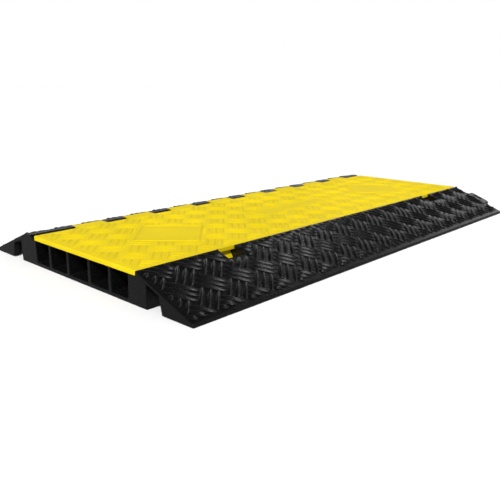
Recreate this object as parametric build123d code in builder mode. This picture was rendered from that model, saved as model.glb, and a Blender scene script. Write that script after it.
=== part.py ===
from build123d import *
from math import sqrt
import os

os.makedirs("parts", exist_ok=True)

# A drive-over cable protector, in millimetres. X runs along the cables, +Y is the hinge side,
# and Z = 0 is the ground.

# Overall size. The deck is the top of the lid and of both ramp crests.
LENGTH = 914.4
WIDTH = 501.65
DECK_Z = 47.6
TOE_HEIGHT = 5.0
END_X = LENGTH / 2
TOE_Y = WIDTH / 2
EDGE_R = 1.2

# Ramps, from each crest down to its toe
CREST_FRONT_Y = -141.0
CREST_BACK_Y = 146.5
RAMP_SLOPE = (DECK_Z - TOE_HEIGHT) / (TOE_Y + CREST_FRONT_Y)
CREST_FRONT_R = 1.0
CREST_BACK_R = 45.0
TOE_R = 1.5

# Lid, and the ledge and dividers that it lies on
LID_THICKNESS = 7.5
LID_GAP = 0.2
LID_FRONT_Y = -140.0
LID_BACK_Y = 121.0
LID_LENGTH = LENGTH - 1.0
LID_CORNER_R = 3.0
LID_TOP_R = 1.5
LID_BOTTOM_R = 1.2
LID_UNDER_Z = DECK_Z - LID_THICKNESS
LEDGE_Z = LID_UNDER_Z - LID_GAP

# Cable channels
FLOOR_Z = 5.4
CHANNEL_FRONT_Y = -124.5
CHANNEL_BACK_Y = 114.5
DIVIDER_YS = (-83.0, -33.0, 23.0, 73.5)
DIVIDER_TOP = 5.5
WALL_DRAFT = 0.8
CHANNEL_R = 3.0

# Hinge: the base's knuckles and the lid's knuckles in turn, on one rod
KNUCKLE_R = 9.5
AXIS_Y = 134.0
AXIS_Z = DECK_Z - KNUCKLE_R
KNUCKLE_PITCH = LENGTH / 9
KNUCKLE_SHIFT = 6.0
LID_KNUCKLES = 8
SLOT_LENGTH = 57.6
LID_KNUCKLE_LENGTH = 56.6
LID_KNUCKLE_CORNER_R = 2.5
SLOT_R = 13.0
ROD_R = 4.75
BORE_R = 4.82
BORE_LEFT_X = -END_X + 13.0
ROD_LEFT_X = BORE_LEFT_X + 1.0
PLUG_R = 6.5
PLUG_LENGTH = 8.0

# Finger notches in the front crest, and the lid's tabs inside them
NOTCH_XS = (-295.0, 305.0)
NOTCH_WIDTH = 34.5
NOTCH_FRONT_Y = -165.0
NOTCH_BACK_Y = -127.8
NOTCH_FLOOR_Z = 25.0
NOTCH_R = 3.0
NOTCH_RIM_R = 0.8
TAB_WIDTH = 33.0
TAB_TOP_Y = -132.3
TAB_BOTTOM_Y = -139.0
TAB_THICKNESS = 3.0
TAB_BOTTOM_Z = 28.0

# Connectors: hooks at the right end, and sockets that drop over the next unit's hooks
SOCKET_INNER_Y = 163.0
SOCKET_OUTER_Y = 210.5
SOCKET_DEPTH = 40.5
MOUTH_TOP_Y = 188.0
MOUTH_BOTTOM_Y = 193.0
LIP_LENGTH = 8.0
SKIN = 4.6
HOOK_LENGTH = 38.0
HOOK_ARM = 28.0
HOOK_INNER_Y = 165.5
HOOK_NECK_Y = 185.5
HOOK_OUTER_Y = 207.5
HOOK_DROP = 5.4
HOOK_BOTTOM_Z = 1.5
RELIEF_LENGTH = 22.0
RELIEF_WIDTH = 9.0
RELIEF_BOTTOM_Z = 8.0
RELIEF_FROM_TIP = 10.5
RELIEF_FROM_SIDE = 19.5

# Blank raised rims on the lid: two diamond panels and a centre band
PANEL_X = 298.0
PANEL_Y = -15.5
PANEL_SIDE = 104.0
BAND_X = 10.0
BAND_Y = -15.0
BAND_LENGTH = 208.0
BAND_WIDTH = 40.0
RIM_WIDTH = 5.0
RIM_HEIGHT = 1.1
RIM_TAPER = 58.0


def ramp_z(y, drop=0.0):
    """Height of a ramp at a distance y from the centre line, less a drop."""
    return TOE_HEIGHT + (TOE_Y - abs(y)) * RAMP_SLOPE - drop


def is_notch_rim(edge):
    """Whether an edge runs round a finger notch on the front ramp's surface."""
    middle = edge.center()
    beside = any(abs(middle.X - x) <= NOTCH_WIDTH / 2 + 0.1 for x in NOTCH_XS)
    on_ramp = middle.Y < CREST_FRONT_Y - CREST_FRONT_R and abs(middle.Z - ramp_z(middle.Y)) < 0.1
    return beside and on_ramp


def under_ramp(low_y, high_y, drop):
    """Corners of a section that runs from the ground up to a line parallel to the ramp."""
    return [
        (low_y, -1),
        (high_y, -1),
        (high_y, ramp_z(high_y, drop)),
        (low_y, ramp_z(low_y, drop)),
    ]


# Centres of the lid's knuckles along X
first_knuckle_x = KNUCKLE_SHIFT - (LID_KNUCKLES - 1) / 2 * KNUCKLE_PITCH
knuckle_xs = [first_knuckle_x + index * KNUCKLE_PITCH for index in range(LID_KNUCKLES)]

# Floor-level corners of the channels, front to back: (front y, back y)
half_divider = DIVIDER_TOP / 2 + WALL_DRAFT
channel_fronts = [CHANNEL_FRONT_Y] + [y + half_divider for y in DIVIDER_YS]
channel_backs = [y - half_divider for y in DIVIDER_YS] + [CHANNEL_BACK_Y]


# Cutter for the socket under the back ramp: mouth, pocket behind its lip, and a drafted lip wall
with BuildPart() as socket:
    with BuildSketch(Plane.XY.offset(-1)):
        with BuildLine():
            Polyline(
                (-END_X - 1, SOCKET_INNER_Y),
                (-END_X + SOCKET_DEPTH, SOCKET_INNER_Y),
                (-END_X + SOCKET_DEPTH, SOCKET_OUTER_Y),
                (-END_X + LIP_LENGTH, SOCKET_OUTER_Y),
                (-END_X + LIP_LENGTH, MOUTH_TOP_Y),
                (-END_X - 1, MOUTH_TOP_Y),
                close=True,
            )
        make_face()
    extrude(amount=60)
    fillet(socket.edges().filter_by(Axis.Z).group_by(Axis.X)[-1], 4)
    with BuildSketch(Plane.YZ.offset(-END_X - 1)):
        with BuildLine():
            Polyline(
                (MOUTH_TOP_Y - 5, -1),
                (MOUTH_BOTTOM_Y, -1),
                (MOUTH_BOTTOM_Y, 0),
                (MOUTH_TOP_Y, ramp_z(MOUTH_TOP_Y, SKIN)),
                (MOUTH_TOP_Y - 5, ramp_z(MOUTH_TOP_Y, SKIN)),
                close=True,
            )
        make_face()
    extrude(amount=LIP_LENGTH + 1.5)
    with BuildSketch(Plane.YZ.offset(-END_X - 2)):
        with BuildLine():
            Polyline(*under_ramp(SOCKET_INNER_Y - 5, SOCKET_OUTER_Y + 5, SKIN), close=True)
        make_face()
    extrude(amount=SOCKET_DEPTH + 10, mode=Mode.INTERSECT)


# Hook for the back ramp: an L in plan, with its top parallel to the ramp
with BuildPart() as hook:
    with BuildSketch(Plane.XY.offset(HOOK_BOTTOM_Z)):
        with BuildLine():
            Polyline(
                (END_X - 5, HOOK_INNER_Y),
                (END_X + HOOK_LENGTH, HOOK_INNER_Y),
                (END_X + HOOK_LENGTH, HOOK_OUTER_Y),
                (END_X + HOOK_LENGTH - HOOK_ARM, HOOK_OUTER_Y),
                (END_X + HOOK_LENGTH - HOOK_ARM, HOOK_NECK_Y),
                (END_X - 5, HOOK_NECK_Y),
                close=True,
            )
        make_face()
    extrude(amount=60)
    fillet(hook.edges().filter_by(Axis.Z).group_by(Axis.X)[-1], 4)
    with BuildSketch(Plane.YZ.offset(END_X - 5)):
        with BuildLine():
            Polyline(*under_ramp(HOOK_INNER_Y - 2, HOOK_OUTER_Y + 2, HOOK_DROP), close=True)
        make_face()
    extrude(amount=HOOK_LENGTH + 10, mode=Mode.INTERSECT)
    fillet(hook.faces().sort_by(Axis.Z)[-1].edges(), 1.5)
    with BuildSketch(Plane.XY.offset(RELIEF_BOTTOM_Z)):
        with Locations((END_X + HOOK_LENGTH - RELIEF_FROM_TIP, HOOK_INNER_Y + RELIEF_FROM_SIDE)):
            SlotOverall(RELIEF_LENGTH, RELIEF_WIDTH, rotation=90)
    extrude(amount=60, mode=Mode.SUBTRACT)


# Base: one moulding with the floor, dividers, ramps, knuckles, sockets and hooks
with BuildPart() as base:
    # Cross-section: ramps, ledge under the lid, and the fixed knuckles' rounded front
    knuckle_foot_y = AXIS_Y - sqrt(KNUCKLE_R**2 - (LEDGE_Z - AXIS_Z) ** 2)
    with BuildSketch(Plane.YZ.offset(-END_X)) as section:
        with BuildLine():
            Polyline(
                (AXIS_Y, DECK_Z),
                (CREST_BACK_Y, DECK_Z),
                (TOE_Y, TOE_HEIGHT),
                (TOE_Y, 0),
                (-TOE_Y, 0),
                (-TOE_Y, TOE_HEIGHT),
                (CREST_FRONT_Y, DECK_Z),
                (CREST_FRONT_Y, LEDGE_Z),
                (knuckle_foot_y, LEDGE_Z),
            )
            ThreePointArc(
                (knuckle_foot_y, LEDGE_Z),
                (AXIS_Y - KNUCKLE_R * sqrt(0.5), AXIS_Z + KNUCKLE_R * sqrt(0.5)),
                (AXIS_Y, DECK_Z),
            )
        make_face()
        rounded_corners = (
            (-TOE_Y, TOE_HEIGHT, TOE_R),
            (TOE_Y, TOE_HEIGHT, TOE_R),
            (CREST_FRONT_Y, DECK_Z, CREST_FRONT_R),
            (CREST_BACK_Y, DECK_Z, CREST_BACK_R),
        )
        for y, z, radius in rounded_corners:
            fillet(section.vertices().sort_by_distance((y, z, 0))[0], radius)
    extrude(amount=LENGTH)

    # Cable channels, with drafted walls and rounded corners at the floor
    with BuildSketch(Plane.YZ.offset(-END_X - 1)) as channels:
        for front, back in zip(channel_fronts, channel_backs):
            with BuildLine():
                Polyline(
                    (front, FLOOR_Z),
                    (back, FLOOR_Z),
                    (back + WALL_DRAFT, LEDGE_Z),
                    (back + WALL_DRAFT, DECK_Z),
                    (front - WALL_DRAFT, DECK_Z),
                    (front - WALL_DRAFT, LEDGE_Z),
                    close=True,
                )
            make_face()
        fillet(channels.vertices().group_by(Axis.Y)[0], CHANNEL_R)
    extrude(amount=LENGTH + 2, mode=Mode.SUBTRACT)

    # Slots that the lid's knuckles turn in
    for x in knuckle_xs:
        with BuildSketch(Plane.YZ.offset(x - SLOT_LENGTH / 2)):
            with Locations((AXIS_Y, AXIS_Z)):
                Circle(SLOT_R)
            with Locations((AXIS_Y, AXIS_Z + SLOT_R)):
                Rectangle(2 * SLOT_R, 2 * SLOT_R)
        extrude(amount=SLOT_LENGTH, mode=Mode.SUBTRACT)

    # Finger notches
    with BuildSketch(Plane.XY.offset(NOTCH_FLOOR_Z)):
        with Locations(*[(x, (NOTCH_FRONT_Y + NOTCH_BACK_Y) / 2) for x in NOTCH_XS]):
            RectangleRounded(NOTCH_WIDTH, NOTCH_BACK_Y - NOTCH_FRONT_Y, NOTCH_R)
    extrude(amount=DECK_Z, mode=Mode.SUBTRACT)
    notch_rims = base.edges().filter_by(is_notch_rim)
    fillet(notch_rims, NOTCH_RIM_R)

    # Sockets under both ramps
    add(socket.part, mode=Mode.SUBTRACT)
    add(mirror(socket.part, about=Plane.XZ, mode=Mode.PRIVATE), mode=Mode.SUBTRACT)

    # Rod bore, with a wider mouth for the plug
    with BuildSketch(Plane.YZ.offset(BORE_LEFT_X)):
        with Locations((AXIS_Y, AXIS_Z)):
            Circle(BORE_R)
    extrude(amount=LENGTH, mode=Mode.SUBTRACT)
    with BuildSketch(Plane.YZ.offset(END_X - PLUG_LENGTH)):
        with Locations((AXIS_Y, AXIS_Z)):
            Circle(PLUG_R)
    extrude(amount=PLUG_LENGTH, mode=Mode.SUBTRACT)

    # Rounded edges on both end faces
    end_faces = base.faces().filter_by(Axis.X).sort_by(Axis.X)
    for end_face in (end_faces[0], end_faces[-1]):
        fillet(end_face.edges(), EDGE_R)

    # Hooks on both ramps
    add(hook.part)
    add(mirror(hook.part, about=Plane.XZ, mode=Mode.PRIVATE))

base.part.label = "base"
export_step(base.part, "parts/base.step")


# Lid: a plate with knuckles along its back edge and two sloping finger tabs under its front edge
with BuildPart() as lid:
    with BuildSketch(Plane.XY.offset(LID_UNDER_Z)):
        with Locations((0, (LID_FRONT_Y + LID_BACK_Y) / 2)):
            RectangleRounded(LID_LENGTH, LID_BACK_Y - LID_FRONT_Y, LID_CORNER_R)
    extrude(amount=LID_THICKNESS)
    fillet(lid.faces().sort_by(Axis.Z)[-1].edges(), LID_TOP_R)
    fillet(lid.faces().sort_by(Axis.Z)[0].edges(), LID_BOTTOM_R)

    for x in knuckle_xs:
        with BuildSketch(Plane.YZ.offset(x - LID_KNUCKLE_LENGTH / 2)) as knuckle:
            with BuildLine():
                Polyline(
                    (LID_BACK_Y - 3, LID_UNDER_Z),
                    (AXIS_Y, LID_UNDER_Z),
                    (AXIS_Y, AXIS_Z),
                    (AXIS_Y + KNUCKLE_R, AXIS_Z),
                    (AXIS_Y + KNUCKLE_R, DECK_Z),
                    (LID_BACK_Y - 3, DECK_Z),
                    close=True,
                )
            make_face()
            top_back_corner = knuckle.vertices().sort_by_distance((AXIS_Y + KNUCKLE_R, DECK_Z, 0))[0]
            fillet(top_back_corner, LID_KNUCKLE_CORNER_R)
            with Locations((AXIS_Y, AXIS_Z)):
                Circle(KNUCKLE_R)
        extrude(amount=LID_KNUCKLE_LENGTH)

    for x in NOTCH_XS:
        with BuildSketch(Plane.YZ.offset(x - TAB_WIDTH / 2)):
            with BuildLine():
                Polyline(
                    (TAB_TOP_Y, LID_UNDER_Z),
                    (TAB_BOTTOM_Y, TAB_BOTTOM_Z),
                    (TAB_BOTTOM_Y + TAB_THICKNESS, TAB_BOTTOM_Z),
                    (TAB_TOP_Y + TAB_THICKNESS, LID_UNDER_Z),
                    close=True,
                )
            make_face()
        extrude(amount=TAB_WIDTH)

    with BuildSketch(Plane.XY.offset(DECK_Z)):
        with Locations((-PANEL_X, PANEL_Y), (PANEL_X, PANEL_Y)):
            Rectangle(PANEL_SIDE, PANEL_SIDE, rotation=45)
            inner_side = PANEL_SIDE - 2 * RIM_WIDTH
            Rectangle(inner_side, inner_side, rotation=45, mode=Mode.SUBTRACT)
        with Locations((BAND_X, BAND_Y)):
            Rectangle(BAND_LENGTH, BAND_WIDTH)
            Rectangle(BAND_LENGTH - 2 * RIM_WIDTH, BAND_WIDTH - 2 * RIM_WIDTH, mode=Mode.SUBTRACT)
    extrude(amount=RIM_HEIGHT, taper=RIM_TAPER)

    with BuildSketch(Plane.YZ.offset(-END_X)):
        with Locations((AXIS_Y, AXIS_Z)):
            Circle(BORE_R)
    extrude(amount=LENGTH, mode=Mode.SUBTRACT)

lid.part.label = "lid"
export_step(lid.part, "parts/lid.step")


# Hinge rod: plain round bar with chamfered ends
with BuildPart() as hinge_rod:
    with BuildSketch(Plane.YZ.offset(ROD_LEFT_X)):
        with Locations((AXIS_Y, AXIS_Z)):
            Circle(ROD_R)
    extrude(amount=END_X - PLUG_LENGTH - 1.0 - ROD_LEFT_X)
    chamfer(hinge_rod.edges().filter_by(GeomType.CIRCLE), 0.8)

hinge_rod.part.label = "hinge_rod"
export_step(hinge_rod.part, "parts/hinge_rod.step")


# Rod plug: pressed into the bore's mouth, flush with the end of the base
with BuildPart() as rod_plug:
    with BuildSketch(Plane.YZ.offset(END_X - PLUG_LENGTH)):
        with Locations((AXIS_Y, AXIS_Z)):
            Circle(PLUG_R)
    extrude(amount=PLUG_LENGTH - 0.4)
    chamfer(rod_plug.edges().filter_by(GeomType.CIRCLE), 0.6)

rod_plug.part.label = "rod_plug"
export_step(rod_plug.part, "parts/rod_plug.step")
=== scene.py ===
import math

import bmesh
import bpy
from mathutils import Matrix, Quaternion, Vector


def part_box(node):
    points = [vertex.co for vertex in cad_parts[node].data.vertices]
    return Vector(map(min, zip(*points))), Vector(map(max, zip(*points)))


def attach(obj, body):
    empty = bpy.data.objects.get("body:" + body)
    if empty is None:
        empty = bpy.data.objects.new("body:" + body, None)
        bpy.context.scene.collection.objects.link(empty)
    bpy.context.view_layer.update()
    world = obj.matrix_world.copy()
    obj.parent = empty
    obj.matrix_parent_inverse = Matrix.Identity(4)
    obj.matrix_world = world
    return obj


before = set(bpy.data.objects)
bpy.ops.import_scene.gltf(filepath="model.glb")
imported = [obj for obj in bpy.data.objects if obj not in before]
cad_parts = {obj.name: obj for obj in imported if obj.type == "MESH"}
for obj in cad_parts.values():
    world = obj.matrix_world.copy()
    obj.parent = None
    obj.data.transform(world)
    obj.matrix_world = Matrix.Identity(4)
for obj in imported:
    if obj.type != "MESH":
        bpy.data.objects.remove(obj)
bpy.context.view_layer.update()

# The CAD model's box, and the boxes of its two large nodes, in metres
base_low, base_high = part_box("base")
lid_low, lid_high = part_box("lid")

# Sizes shared with the CAD model
RAMP_HALF = -base_low.x
TOE_Y = base_high.y
DECK_Z = base_high.z
TOE_HEIGHT = 0.005
CREST_FRONT_Y = 0.141
CREST_BACK_Y = 0.1465
LID_HALF = lid_high.x
LID_FRONT_Y = lid_low.y
LID_BACK_Y = 0.121
NOTCH_XS = (-0.295, 0.305)
NOTCH_WIDTH = 0.0345
NOTCH_FRONT_Y = 0.165
PANEL_X = 0.298
PANEL_Y = -0.0155
PANEL_SIDE = 0.104
BAND_CENTRE = (0.010, -0.015)
BAND_SIZE = (0.208, 0.040)

# Basket-weave tread: square cells at 45 degrees, each with three parallel bars that reach past it
TREAD_PITCH = 0.0512
BARS_PER_CELL = 3
BAR_PITCH = 0.0107
BAR_LENGTH = 0.0460
SHORTEST_BAR = 0.0030
SINK = 0.0006
LID_BAR_WIDTH = 0.0072
LID_BAR_HEIGHT = 0.0013
RAMP_BAR_WIDTH = 0.0080
RAMP_BAR_HEIGHT = 0.0028

# Where the lattice stands, and how far the bars stay from edges, rims and notches
LID_LATTICE = (-0.0077, 0.0188)
LID_MARGIN = 0.006
RIM_CLEARANCE = 0.004
RAMP_LATTICE_X = 0.0327
RAMP_LATTICE_RUN = 0.0600
RAMP_MARGIN_LEFT = 0.005
RAMP_MARGIN_RIGHT = 0.002
FRONT_MARGIN_CREST = 0.002
BACK_MARGIN_CREST = 0.010
RAMP_MARGIN_TOE = 0.0065
NOTCH_CLEARANCE = 0.002
NOTCH_CLEARANCE_BELOW = 0.003

# Shape of one bar: how many rings it has, and how its plan, crest and section curve
BAR_STATIONS = 14
BAR_STEPS = 12
BAR_TIP = 0.12
PLAN_BULGE = 2.6
PLAN_ROUNDING = 0.66
CREST_BULGE = 2.0
CREST_ROUNDING = 0.90
SECTION_SHARPNESS = 1.35
WIDEST_FOR_LENGTH = 0.9

# Viewpoint: angles in degrees, lens and sensor in millimetres
VIEW_AZIMUTH = -46.81
VIEW_ELEVATION = 15.34
VIEW_ROLL = 0.18
VIEW_DISTANCE = 1.0349
VIEW_TARGET = (-0.15835, -0.06106, 0.0004)
LENS = 43.19
SENSOR = 36

# Light: the sky's brightness at each elevation in degrees. Below the horizon it stands in for the
# floor, which reflections don't see.
SKY_STEPS = (
    (-90, 0.28), (-4, 0.28), (-1, 0.01), (12, 0.01), (17, 1.75), (23, 1.20), (29, 0.30), (35, 0.01)
)
FLOOR_RADIUS = 40.0
FLOOR_CORNERS = 64


# ---------------------------------------------------------------- small helpers

def new_piece(name, bm, material, body):
    """Turns a bmesh into an object that rides on a CAD body."""
    mesh = bpy.data.meshes.new(name)
    bmesh.ops.recalc_face_normals(bm, faces=bm.faces)
    bm.to_mesh(mesh)
    bm.free()
    mesh.polygons.foreach_set("use_smooth", [True] * len(mesh.polygons))
    piece = bpy.data.objects.new(name, mesh)
    bpy.context.scene.collection.objects.link(piece)
    mesh.materials.append(material)
    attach(piece, body)
    return piece


class Surface:
    """A flat tread surface: an origin, an along axis, an up-slope axis and the normal."""

    def __init__(self, origin, along, up):
        self.origin = Vector(origin)
        self.along = Vector(along).normalized()
        self.up = Vector(up).normalized()
        self.normal = self.along.cross(self.up)

    def at(self, u, v, w):
        return self.origin + self.along * u + self.up * v + self.normal * w


# ---------------------------------------------------------------- clipping of tread bars

def inside_rectangle(start, end, low, high):
    """The stretch of a segment that lies inside a rectangle, as two fractions, or None."""
    first, last = 0.0, 1.0
    for axis in (0, 1):
        run = end[axis] - start[axis]
        if abs(run) < 1e-9:
            if not low[axis] <= start[axis] <= high[axis]:
                return None
            continue
        near = (low[axis] - start[axis]) / run
        far = (high[axis] - start[axis]) / run
        first = max(first, min(near, far))
        last = min(last, max(near, far))
    return (first, last) if last > first else None


def between(start, end, fraction):
    """The point at a fraction of the way along a segment."""
    return tuple(a + (b - a) * fraction for a, b in zip(start, end))


def turned(point, centre, degrees):
    """A point turned about a centre."""
    c, s = math.cos(math.radians(degrees)), math.sin(math.radians(degrees))
    x, y = point[0] - centre[0], point[1] - centre[1]
    return (centre[0] + c * x - s * y, centre[1] + s * x + c * y)


def cut_by_hole(segment, hole):
    """The stretches of a segment that stay outside a (centre, size, angle) rectangle."""
    centre, size, angle = hole
    start, end = (turned(point, centre, -angle) for point in segment)
    low = [c - s / 2 for c, s in zip(centre, size)]
    high = [c + s / 2 for c, s in zip(centre, size)]
    covered = inside_rectangle(start, end, low, high)
    if covered is None:
        return [segment]
    kept = []
    if covered[0] > 0:
        kept.append((segment[0], between(*segment, covered[0])))
    if covered[1] < 1:
        kept.append((between(*segment, covered[1]), segment[1]))
    return kept


def tread_segments(low, high, centre, holes=()):
    """Centre lines of the tread bars in a rectangle, clear of the holes."""
    segments = []
    columns = int((high[0] - low[0]) / TREAD_PITCH) + 3
    rows = int((high[1] - low[1]) / TREAD_PITCH) + 3
    for kind, slant in ((0, -1), (1, 1)):
        direction = Vector((1, slant)).normalized()
        across = Vector((-direction.y, direction.x))
        for column in range(-columns // 2 - 1, columns // 2 + 2):
            for row in range(-rows - 1, rows + 2):
                middle = Vector(centre) + Vector((column, row)) * TREAD_PITCH
                middle += Vector((TREAD_PITCH, TREAD_PITCH)) / 2 * kind
                for bar in range(BARS_PER_CELL):
                    offset = (bar - (BARS_PER_CELL - 1) / 2) * BAR_PITCH
                    spot = middle + across * offset
                    start = tuple(spot - direction * BAR_LENGTH / 2)
                    end = tuple(spot + direction * BAR_LENGTH / 2)
                    kept = inside_rectangle(start, end, low, high)
                    if kept is None:
                        continue
                    pieces = [(between(start, end, kept[0]), between(start, end, kept[1]))]
                    for hole in holes:
                        pieces = [part for piece in pieces for part in cut_by_hole(piece, hole)]
                    segments += pieces
    return [s for s in segments if (Vector(s[1]) - Vector(s[0])).length > SHORTEST_BAR]


# ---------------------------------------------------------------- tread bars

def add_bar(bm, surface, start, end, width, height):
    """One leaf-shaped tread bar with a narrow crest and soft feet, sunk a little into its surface."""
    start, end = Vector(start), Vector(end)
    length = (end - start).length
    direction = (end - start) / length
    side = Vector((-direction.y, direction.x))
    width = min(width, length * WIDEST_FOR_LENGTH)
    rings = []
    for station in range(BAR_STATIONS + 1):
        t = -math.cos(math.pi * station / BAR_STATIONS)
        half_width = width / 2 * max(BAR_TIP, (1 - abs(t) ** PLAN_BULGE) ** PLAN_ROUNDING)
        crest = height * (1 - abs(t) ** CREST_BULGE) ** CREST_ROUNDING
        spine = start + direction * length * (t + 1) / 2
        ring = []
        for step in range(BAR_STEPS + 1):
            across = 2 * step / BAR_STEPS - 1
            spot = spine + side * half_width * across
            rise = 0.0
            if abs(across) < 1:
                rise = crest * math.cos(math.pi / 2 * across) ** SECTION_SHARPNESS
            ring.append(bm.verts.new(surface.at(spot.x, spot.y, rise)))
        for sign in (1, -1):
            spot = spine + side * half_width * sign
            ring.append(bm.verts.new(surface.at(spot.x, spot.y, -SINK)))
        rings.append(ring)
    for ring, following in zip(rings, rings[1:]):
        count = len(ring)
        for index in range(count):
            nearby = (index + 1) % count
            bm.faces.new((ring[index], ring[nearby], following[nearby], following[index]))
    bm.faces.new(rings[0])
    bm.faces.new(list(reversed(rings[-1])))


def tread(name, surface, segments, bar_size, material, body):
    """All the bars of one surface, as one piece; bar_size is their width and height."""
    bm = bmesh.new()
    for start, end in segments:
        add_bar(bm, surface, start, end, *bar_size)
    return new_piece(name, bm, material, body)


# ---------------------------------------------------------------- materials

def node_material(name):
    """An empty node material with its shader, and a function that adds nodes."""
    material = bpy.data.materials.new(name)
    material.use_nodes = True
    nodes, links = material.node_tree.nodes, material.node_tree.links
    shader = nodes["Principled BSDF"]

    def add(kind, **settings):
        node = nodes.new(kind)
        for key, value in settings.items():
            if key in node.inputs:
                node.inputs[key].default_value = value
            else:
                setattr(node, key, value)
        return node

    return material, shader, add, links


def moulded_polyurethane(name, colour, worn, roughness, specular, grain, scuff):
    """Moulded polyurethane: even colour with faint clouds, fine grain and scattered pale scuffs."""
    material, shader, add, links = node_material(name)
    place = add("ShaderNodeTexCoord")
    clouds = add("ShaderNodeTexNoise", Scale=9.0, Detail=5.0, Roughness=0.6)
    links.new(place.outputs["Object"], clouds.inputs["Vector"])
    cloud_ramp = add("ShaderNodeValToRGB")
    cloud_ramp.color_ramp.elements[0].position = 0.30
    cloud_ramp.color_ramp.elements[0].color = (*[c * 0.86 for c in colour], 1)
    cloud_ramp.color_ramp.elements[1].position = 0.72
    cloud_ramp.color_ramp.elements[1].color = (*colour, 1)
    links.new(clouds.outputs["Fac"], cloud_ramp.inputs["Fac"])

    scratches = add("ShaderNodeTexNoise", Scale=55.0, Detail=9.0, Roughness=0.72)
    links.new(place.outputs["Object"], scratches.inputs["Vector"])
    scuff_ramp = add("ShaderNodeValToRGB")
    scuff_ramp.color_ramp.elements[0].position = 0.56
    scuff_ramp.color_ramp.elements[0].color = (0, 0, 0, 1)
    scuff_ramp.color_ramp.elements[1].position = 0.80
    scuff_ramp.color_ramp.elements[1].color = (scuff, scuff, scuff, 1)
    links.new(scratches.outputs["Fac"], scuff_ramp.inputs["Fac"])
    blend = add("ShaderNodeMix", data_type="RGBA")
    links.new(scuff_ramp.outputs["Color"], blend.inputs["Factor"])
    links.new(cloud_ramp.outputs["Color"], blend.inputs["A"])
    blend.inputs["B"].default_value = (*worn, 1)
    links.new(blend.outputs["Result"], shader.inputs["Base Color"])

    rough = add("ShaderNodeMapRange")
    rough.inputs["To Min"].default_value = roughness - 0.07
    rough.inputs["To Max"].default_value = roughness + 0.10
    links.new(scratches.outputs["Fac"], rough.inputs["Value"])
    links.new(rough.outputs["Result"], shader.inputs["Roughness"])

    pebbles = add("ShaderNodeTexVoronoi", Scale=900.0)
    links.new(place.outputs["Object"], pebbles.inputs["Vector"])
    ripple = add("ShaderNodeTexNoise", Scale=60.0, Detail=3.0)
    links.new(place.outputs["Object"], ripple.inputs["Vector"])
    fine = add("ShaderNodeBump", Strength=grain, Distance=0.0002)
    links.new(pebbles.outputs["Distance"], fine.inputs["Height"])
    broad = add("ShaderNodeBump", Strength=0.25, Distance=0.0006)
    links.new(ripple.outputs["Fac"], broad.inputs["Height"])
    links.new(fine.outputs["Normal"], broad.inputs["Normal"])
    links.new(broad.outputs["Normal"], shader.inputs["Normal"])
    shader.inputs["Specular IOR Level"].default_value = specular
    return material


def glass_fibre():
    """Pultruded glass-fibre rod: pale resin with fine lengthwise strands."""
    material, shader, add, links = node_material("glass_fibre")
    place = add("ShaderNodeTexCoord")
    stretch = add("ShaderNodeMapping")
    stretch.inputs["Scale"].default_value = (12, 2600, 2600)
    links.new(place.outputs["Object"], stretch.inputs["Vector"])
    strands = add("ShaderNodeTexNoise", Scale=1.0, Detail=4.0)
    links.new(stretch.outputs["Vector"], strands.inputs["Vector"])
    ramp = add("ShaderNodeValToRGB")
    ramp.color_ramp.elements[0].color = (0.42, 0.40, 0.30, 1)
    ramp.color_ramp.elements[1].color = (0.72, 0.70, 0.60, 1)
    links.new(strands.outputs["Fac"], ramp.inputs["Fac"])
    links.new(ramp.outputs["Color"], shader.inputs["Base Color"])
    bump = add("ShaderNodeBump", Strength=0.3, Distance=0.0001)
    links.new(strands.outputs["Fac"], bump.inputs["Height"])
    links.new(bump.outputs["Normal"], shader.inputs["Normal"])
    shader.inputs["Roughness"].default_value = 0.35
    return material


def pale_floor():
    """Matt white studio floor."""
    material, shader, add, links = node_material("studio_white")
    shader.inputs["Base Color"].default_value = (0.95, 0.95, 0.95, 1)
    shader.inputs["Roughness"].default_value = 0.9
    shader.inputs["Specular IOR Level"].default_value = 0.1
    return material


# ---------------------------------------------------------------- the object

def dress_cad(node, material):
    """Gives a CAD node its material."""
    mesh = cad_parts[node].data
    mesh.materials.clear()
    mesh.materials.append(material)


def lid_tread(material):
    """Low tread on the lid, clear of its margins, the two diamond panels and the centre band."""
    surface = Surface((0, 0, DECK_Z), (1, 0, 0), (0, 1, 0))
    low = (-LID_HALF + LID_MARGIN, LID_FRONT_Y + LID_MARGIN)
    high = (LID_HALF - LID_MARGIN, LID_BACK_Y - LID_MARGIN)
    panel = (PANEL_SIDE + RIM_CLEARANCE, PANEL_SIDE + RIM_CLEARANCE)
    holes = [((side * PANEL_X, PANEL_Y), panel, 45) for side in (-1, 1)]
    holes.append((BAND_CENTRE, (BAND_SIZE[0] + RIM_CLEARANCE, BAND_SIZE[1] + RIM_CLEARANCE), 0))
    segments = tread_segments(low, high, LID_LATTICE, holes)
    bar_size = (LID_BAR_WIDTH, LID_BAR_HEIGHT)
    tread("lid_tread", surface, segments, bar_size, material, "lid")


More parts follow.
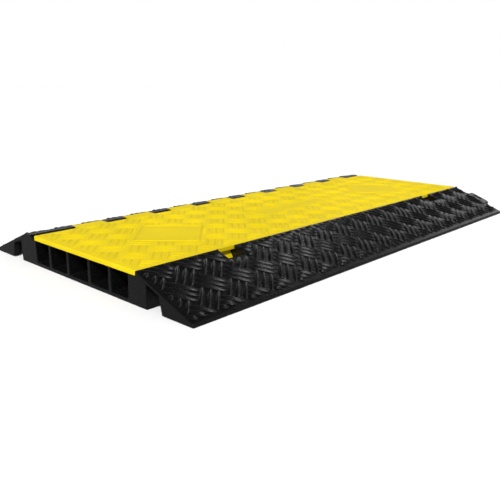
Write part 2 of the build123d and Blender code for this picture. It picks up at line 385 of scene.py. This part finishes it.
def ramp_tread(name, side, crest, margin_crest, material):
    """Tall tread on one ramp; side is -1 in front and 1 behind. The up axis leans towards +Y."""
    run, drop = TOE_Y - crest, DECK_Z - TOE_HEIGHT
    slant = math.hypot(run, drop)
    up = (0, run, -drop * side)
    surface = Surface((0, side * crest, DECK_Z), (1, 0, 0), up)
    near, far = sorted((side * margin_crest, side * (slant - RAMP_MARGIN_TOE)))
    low, high = (-RAMP_HALF + RAMP_MARGIN_LEFT, near), (RAMP_HALF - RAMP_MARGIN_RIGHT, far)
    holes = []
    if side < 0:
        notch_run = (NOTCH_FRONT_Y - crest) * slant / run
        size = (NOTCH_WIDTH + 2 * NOTCH_CLEARANCE, 2 * (notch_run + NOTCH_CLEARANCE_BELOW))
        holes = [((x, 0), size, 0) for x in NOTCH_XS]
    segments = tread_segments(low, high, (RAMP_LATTICE_X, side * RAMP_LATTICE_RUN), holes)
    bar_size = (RAMP_BAR_WIDTH, RAMP_BAR_HEIGHT)
    tread(name, surface, segments, bar_size, material, "base")


# ---------------------------------------------------------------- stage, light and camera

def studio():
    """A wide round floor that ends near the horizon, where the white behind it takes over."""
    bm = bmesh.new()
    hub = bm.verts.new((0, 0, 0))
    turns = [2 * math.pi * corner / FLOOR_CORNERS for corner in range(FLOOR_CORNERS)]
    rim = [bm.verts.new((FLOOR_RADIUS * math.cos(t), FLOOR_RADIUS * math.sin(t), 0)) for t in turns]
    for first, second in zip(rim, rim[1:] + rim[:1]):
        bm.faces.new((hub, first, second))
    mesh = bpy.data.meshes.new("studio_floor")
    bm.to_mesh(mesh)
    bm.free()
    floor = bpy.data.objects.new("studio_floor", mesh)
    bpy.context.scene.collection.objects.link(floor)
    mesh.materials.append(pale_floor())
    floor.visible_glossy = False


def towards(azimuth, elevation):
    """The direction from the object to a light; azimuth is counted from +X towards +Y."""
    turn, rise = math.radians(azimuth), math.radians(elevation)
    return Vector((math.cos(turn) * math.cos(rise), math.sin(turn) * math.cos(rise), math.sin(rise)))


def softbox(name, place, aim, size, radiance):
    """A square light that faces a point on the object and only makes highlights."""
    light = bpy.data.lights.new(name, "AREA")
    light.shape = "SQUARE"
    light.size = size
    light.energy = radiance * math.pi * size * size
    lamp = bpy.data.objects.new(name, light)
    bpy.context.scene.collection.objects.link(lamp)
    lamp.location = place
    lamp.rotation_euler = (Vector(aim) - Vector(place)).to_track_quat("-Z", "Y").to_euler()
    lamp.visible_diffuse = False


def camera():
    """The viewpoint: round to the left and a little above the deck."""
    azimuth, elevation = math.radians(VIEW_AZIMUTH), math.radians(VIEW_ELEVATION)
    back = Vector((
        math.sin(azimuth) * math.cos(elevation),
        -math.cos(azimuth) * math.cos(elevation),
        math.sin(elevation),
    ))
    data = bpy.data.cameras.new("camera")
    data.sensor_width = SENSOR
    data.lens = LENS
    view = bpy.data.objects.new("camera", data)
    bpy.context.scene.collection.objects.link(view)
    view.location = Vector(VIEW_TARGET) + back * VIEW_DISTANCE
    aim = (-back).to_track_quat("-Z", "Y")
    view.rotation_euler = (aim @ Quaternion((0, 0, 1), math.radians(VIEW_ROLL))).to_euler()
    bpy.context.scene.camera = view


def sun(name, azimuth, elevation, spread, strength):
    """A distant soft light, counted from +X towards +Y, that makes no highlights of its own."""
    light = bpy.data.lights.new(name, "SUN")
    light.angle = math.radians(spread)
    light.energy = strength
    lamp = bpy.data.objects.new(name, light)
    bpy.context.scene.collection.objects.link(lamp)
    lamp.rotation_euler = (-towards(azimuth, elevation)).to_track_quat("-Z", "Y").to_euler()
    lamp.visible_glossy = False


def world_light():
    """White behind the object, and a dimmer sky in steps that lights it and shows in reflections."""
    world = bpy.data.worlds.new("world")
    bpy.context.scene.world = world
    world.use_nodes = True
    nodes, links = world.node_tree.nodes, world.node_tree.links
    place = nodes.new("ShaderNodeTexCoord")
    split = nodes.new("ShaderNodeSeparateXYZ")
    links.new(place.outputs["Generated"], split.inputs["Vector"])
    sky = nodes.new("ShaderNodeValToRGB")
    elements = sky.color_ramp.elements
    while len(elements) < len(SKY_STEPS):
        elements.new(1.0)
    for element, (elevation, level) in zip(elements, SKY_STEPS):
        element.position = 0.5 + 0.5 * math.sin(math.radians(elevation))
        element.color = (level, level, level, 1)
    height = nodes.new("ShaderNodeMath")
    height.operation = "MULTIPLY_ADD"
    height.inputs[1].default_value = 0.5
    height.inputs[2].default_value = 0.5
    links.new(split.outputs["Z"], height.inputs[0])
    links.new(height.outputs[0], sky.inputs["Fac"])
    fill = nodes["Background"]
    links.new(sky.outputs["Color"], fill.inputs["Color"])
    white = nodes.new("ShaderNodeBackground")
    white.inputs["Color"].default_value = (1, 1, 1, 1)
    rays = nodes.new("ShaderNodeLightPath")
    choose = nodes.new("ShaderNodeMixShader")
    links.new(rays.outputs["Is Camera Ray"], choose.inputs["Fac"])
    links.new(fill.outputs["Background"], choose.inputs[1])
    links.new(white.outputs["Background"], choose.inputs[2])
    links.new(choose.outputs["Shader"], nodes["World Output"].inputs["Surface"])


# ---------------------------------------------------------------- the scene

black = moulded_polyurethane(
    "black_polyurethane",
    colour=(0.0045, 0.0045, 0.0047),
    worn=(0.020, 0.020, 0.021),
    roughness=0.26,
    specular=0.25,
    grain=0.25,
    scuff=0.25,
)
yellow = moulded_polyurethane(
    "yellow_polyurethane",
    colour=(0.775, 0.588, 0.008),
    worn=(0.83, 0.66, 0.06),
    roughness=0.55,
    specular=0.04,
    grain=0.4,
    scuff=0.35,
)
plug_black = moulded_polyurethane(
    "plug_rubber",
    colour=(0.015, 0.015, 0.016),
    worn=(0.05, 0.05, 0.05),
    roughness=0.7,
    specular=0.2,
    grain=0.5,
    scuff=0.2,
)
dress_cad("base", black)
dress_cad("lid", yellow)
dress_cad("hinge_rod", glass_fibre())
dress_cad("rod_plug", plug_black)
lid_tread(yellow)
ramp_tread("front_ramp_tread", -1, CREST_FRONT_Y, FRONT_MARGIN_CREST, black)
ramp_tread("back_ramp_tread", 1, CREST_BACK_Y, BACK_MARGIN_CREST, black)

studio()
world_light()
sun("key", azimuth=-147, elevation=46, spread=12, strength=3.4)
sun("fill", azimuth=0, elevation=90, spread=120, strength=0.5)
softbox("front_box", place=(-0.34, -0.90, 0.75), aim=(-0.2, -0.2, 0), size=0.22, radiance=19.0)
softbox("right_box", place=(0.80, 0.31, 0.60), aim=(0.3, -0.2, 0), size=0.20, radiance=5.0)
camera()
bpy.context.scene.view_settings.view_transform = "Standard"
